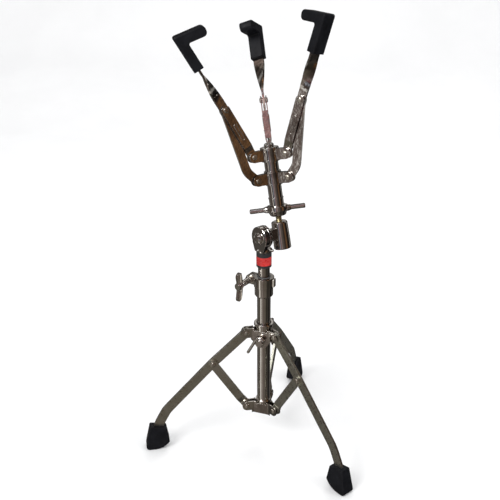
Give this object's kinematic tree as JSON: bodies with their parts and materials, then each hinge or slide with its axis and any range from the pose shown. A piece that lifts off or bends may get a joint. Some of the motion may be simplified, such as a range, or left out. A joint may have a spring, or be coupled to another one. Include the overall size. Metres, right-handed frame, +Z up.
{
  "type": "snare drum stand",
  "caption": "Folding snare drum stand: flat-leg tripod, telescopic mast with clamp, ratchet tilter and a basket of hinged gripping arms.",
  "frame": {"origin": "on the floor, on the axis of the mast", "axes": "+Z up along the mast, +X to the viewer's right, +Y away from the viewer"},
  "size_m": [0.3431, 0.3641, 0.7126],
  "materials": {
    "chrome": "polished chrome plate",
    "satin_nickel": "satin nickel plate",
    "steel": "plated rivet steel",
    "black_rubber": "moulded matt",
    "black_plastic": "satin",
    "nylon": "dark nylon",
    "red_band": "printed band, plain",
    "zinc_yellow": "yellow zinc plate"
  },
  "bodies": {
    "base": {"base_tube": "chrome", "tube_end_plug": "black_plastic", "spider_collar": "chrome", "spider_plates": "chrome", "spider_rivets": "steel", "height_clamp": "chrome", "clamp_bolt": "steel", "clamp_washer": "steel"},
    "hub": {"hub_collar": "chrome", "hub_plates": "chrome", "hub_rivets": "steel", "hub_lock_nut": "chrome"},
    "hub_lock": {"hub_lock_screw": "chrome"},
    "clamp_nut": {"clamp_wing_nut": "chrome"},
    "bushing": {"height_bushing": "nylon"},
    "mast": {"upper_tube": "chrome", "label_sleeve": "black_plastic", "label_band": "red_band", "tilter_base": "chrome"},
    "head": {"tilter_head": "chrome", "rod_set_screw": "steel", "basket_rod": "zinc_yellow", "rod_cap": "chrome", "upper_collar": "chrome", "upper_collar_plates": "chrome", "upper_collar_rivets": "steel"},
    "tilter_bolt": {"tilter_bolt": "chrome"},
    "sleeve": {"lower_sleeve": "chrome", "lower_collar_plates": "chrome", "lower_collar_rivets": "steel"},
    "basket_nut": {"basket_nut": "chrome", "basket_nut_bar": "chrome"},
    "leg_left": {"leg_left": "satin_nickel", "foot_left": "black_rubber", "knee_rivet_left": "steel"},
    "brace_left": {"brace_left": "satin_nickel"},
    "arm_left": {"arm_left": "chrome", "grip_left": "black_rubber"},
    "strut_left": {"strut_left": "chrome", "elbow_rivet_left": "steel"},
    "leg_right": {"leg_right": "satin_nickel", "foot_right": "black_rubber", "knee_rivet_right": "steel"},
    "brace_right": {"brace_right": "satin_nickel"},
    "arm_right": {"arm_right": "chrome", "grip_right": "black_rubber"},
    "strut_right": {"strut_right": "chrome", "elbow_rivet_right": "steel"},
    "leg_rear": {"leg_rear": "satin_nickel", "foot_rear": "black_rubber", "knee_rivet_rear": "steel"},
    "brace_rear": {"brace_rear": "satin_nickel"},
    "arm_rear": {"arm_rear": "chrome", "grip_rear": "black_rubber"},
    "strut_rear": {"strut_rear": "chrome", "elbow_rivet_rear": "steel"}
  },
  "joints": [
    {"name": "tripod_fold", "type": "hinge", "parent": "base", "child": "brace_left", "pos_m": [-0.02817, -0.00548, 0.0645], "axis": [-0.1908, 0.9816, 0], "range_deg": [-3, 26]},
    {"name": "leg_left_knee", "type": "hinge", "parent": "brace_left", "child": "leg_left", "pos_m": [-0.08413, -0.01635, 0.1545], "axis": [0.1908, -0.9816, 0], "range_deg": [-7.53, 65.14]},
    {"name": "hub_on_leg", "type": "hinge", "parent": "leg_left", "child": "hub", "pos_m": [-0.02817, -0.00548, 0.207], "axis": [-0.1908, 0.9816, 0], "range_deg": [-4.53, 39.14]},
    {"name": "leg_right_hub", "type": "hinge", "parent": "hub", "child": "leg_right", "pos_m": [0.01883, -0.02166, 0.207], "axis": [0.7547, 0.6561, 0], "range_deg": [-4.53, 39.14]},
    {"name": "brace_right_knee", "type": "hinge", "parent": "leg_right", "child": "brace_right", "pos_m": [0.05622, -0.06468, 0.1545], "axis": [-0.7547, -0.6561, 0], "range_deg": [-7.53, 65.14]},
    {"name": "leg_rear_hub", "type": "hinge", "parent": "hub", "child": "leg_rear", "pos_m": [0.00934, 0.02714, 0.207], "axis": [-0.9455, 0.3256, 0], "range_deg": [-4.53, 39.14]},
    {"name": "brace_rear_knee", "type": "hinge", "parent": "leg_rear", "child": "brace_rear", "pos_m": [0.0279, 0.08103, 0.1545], "axis": [0.9455, -0.3256, 0], "range_deg": [-7.53, 65.14]},
    {"name": "hub_lock_turn", "type": "hinge", "parent": "hub", "child": "hub_lock", "pos_m": [0, 0, 0.194], "axis": [-0.3256, -0.9455, 0], "range_deg": [0, 75]},
    {"name": "clamp_nut_spin", "type": "hinge", "parent": "base", "child": "clamp_nut", "pos_m": [-0.01931, 0.0123, 0.2975], "axis": [-0.5373, -0.8434, 0], "continuous": true},
    {"name": "mast_swivel", "type": "hinge", "parent": "base", "child": "bushing", "pos_m": [0, 0, 0.298], "axis": [0, 0, 1], "continuous": true},
    {"name": "mast_height", "type": "slide", "parent": "bushing", "child": "mast", "axis": [0, 0, 1], "range_m": [-0.0165, 0.1]},
    {"name": "basket_tilt", "type": "hinge", "parent": "mast", "child": "head", "pos_m": [0, 0, 0.375], "axis": [-0.766, -0.6428, 0], "range_deg": [-42, 32]},
    {"name": "tilter_bolt_turn", "type": "hinge", "parent": "head", "child": "tilter_bolt", "pos_m": [0, 0, 0.375], "axis": [-0.766, -0.6428, 0], "continuous": true},
    {"name": "basket_open", "type": "hinge", "parent": "head", "child": "strut_left", "pos_m": [-0.01663, 0.02752, 0.49466], "axis": [0.485, -0.8481, 0.2132], "range_deg": [-2.5, 26]},
    {"name": "arm_left_elbow", "type": "hinge", "parent": "strut_left", "child": "arm_left", "pos_m": [-0.05899, 0.02207, 0.56934], "axis": [-0.485, 0.8481, -0.2132], "range_deg": [-0.94, 9.63]},
    {"name": "sleeve_on_arm", "type": "hinge", "parent": "arm_left", "child": "sleeve", "pos_m": [-0.01064, 0.02191, 0.45867], "axis": [-0.485, 0.8481, -0.2132], "range_deg": [-1.58, 16.39]},
    {"name": "arm_right_foot", "type": "hinge", "parent": "sleeve", "child": "arm_right", "pos_m": [0.03824, 0.02248, 0.46554], "axis": [0.5052, 0.8598, -0.074], "range_deg": [-1.58, 16.39]},
    {"name": "strut_right_elbow", "type": "hinge", "parent": "arm_right", "child": "strut_right", "pos_m": [0.05421, 0.02341, 0.58525], "axis": [0.5052, 0.8598, -0.074], "range_deg": [-0.94, 9.63]},
    {"name": "arm_rear_foot", "type": "hinge", "parent": "sleeve", "child": "arm_rear", "pos_m": [0.0143, 0.06435, 0.45502], "axis": [-0.9902, -0.0117, -0.1391], "range_deg": [-1.58, 16.39]},
    {"name": "strut_rear_elbow", "type": "hinge", "parent": "arm_rear", "child": "strut_rear", "pos_m": [-0.00123, 0.12036, 0.56088], "axis": [-0.9902, -0.0117, -0.1391], "range_deg": [-0.94, 9.63]},
    {"name": "basket_nut_turn", "type": "hinge", "parent": "sleeve", "child": "basket_nut", "pos_m": [0.02118, 0.02766, 0.40917], "axis": [-0.1391, 0.1658, 0.9763], "range_deg": [-1051.44, 101.11]}
  ],
  "couplings": [
    {"joint": "leg_left_knee", "follows": "tripod_fold", "ratio": 2.505},
    {"joint": "hub_on_leg", "follows": "tripod_fold", "ratio": 1.505},
    {"joint": "leg_right_hub", "follows": "tripod_fold", "ratio": 1.505},
    {"joint": "brace_right_knee", "follows": "tripod_fold", "ratio": 2.505},
    {"joint": "leg_rear_hub", "follows": "tripod_fold", "ratio": 1.505},
    {"joint": "brace_rear_knee", "follows": "tripod_fold", "ratio": 2.505},
    {"joint": "arm_left_elbow", "follows": "basket_open", "ratio": 0.37},
    {"joint": "sleeve_on_arm", "follows": "basket_open", "ratio": 0.63},
    {"joint": "arm_right_foot", "follows": "basket_open", "ratio": 0.63},
    {"joint": "strut_right_elbow", "follows": "basket_open", "ratio": 0.37},
    {"joint": "arm_rear_foot", "follows": "basket_open", "ratio": 0.63},
    {"joint": "strut_rear_elbow", "follows": "basket_open", "ratio": 0.37},
    {"joint": "basket_nut_turn", "follows": "basket_open", "ratio": -40.44}
  ]
}
